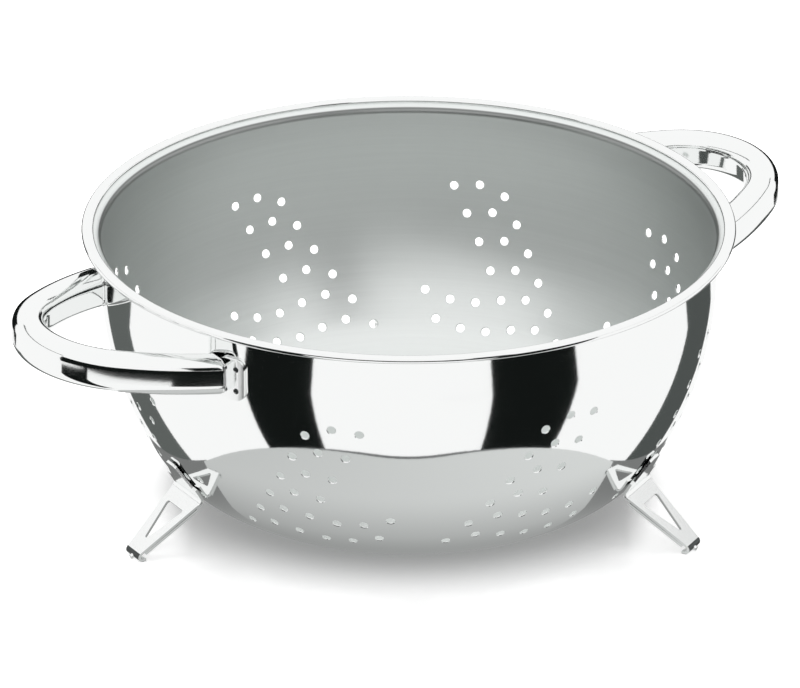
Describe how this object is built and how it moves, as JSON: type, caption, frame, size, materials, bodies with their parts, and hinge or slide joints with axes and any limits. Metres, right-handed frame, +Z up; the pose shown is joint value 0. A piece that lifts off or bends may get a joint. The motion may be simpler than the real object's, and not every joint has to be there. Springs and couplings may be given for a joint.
{
  "type": "colander",
  "caption": "Polished steel colander: a deep round bowl punched with leaning groups of small holes, a rolled rim, hollow loop handles on brackets and bent sheet feet.",
  "frame": {"origin": "on the bowl's axis, at the height of the surface that the feet stand on", "axes": "+Z up along the bowl's axis, +X towards the right handle, -Y towards the front. Both handles sit 1.5 degrees behind the X axis"},
  "size_m": [0.321, 0.24, 0.1067],
  "materials": {
    "bowl_steel": "mirror polished outside, satin inside",
    "handle_steel": "mirror polished",
    "bracket_steel": "mirror polished",
    "foot_steel": "polished"
  },
  "bodies": {
    "root": {"bowl": "bowl_steel", "handle_left": "handle_steel", "handle_right": "handle_steel", "bracket_left_front": "bracket_steel", "bracket_left_rear": "bracket_steel", "bracket_right_front": "bracket_steel", "bracket_right_rear": "bracket_steel", "foot_left": "foot_steel", "foot_front": "foot_steel", "foot_rear": "foot_steel"}
  },
  "joints": []
}
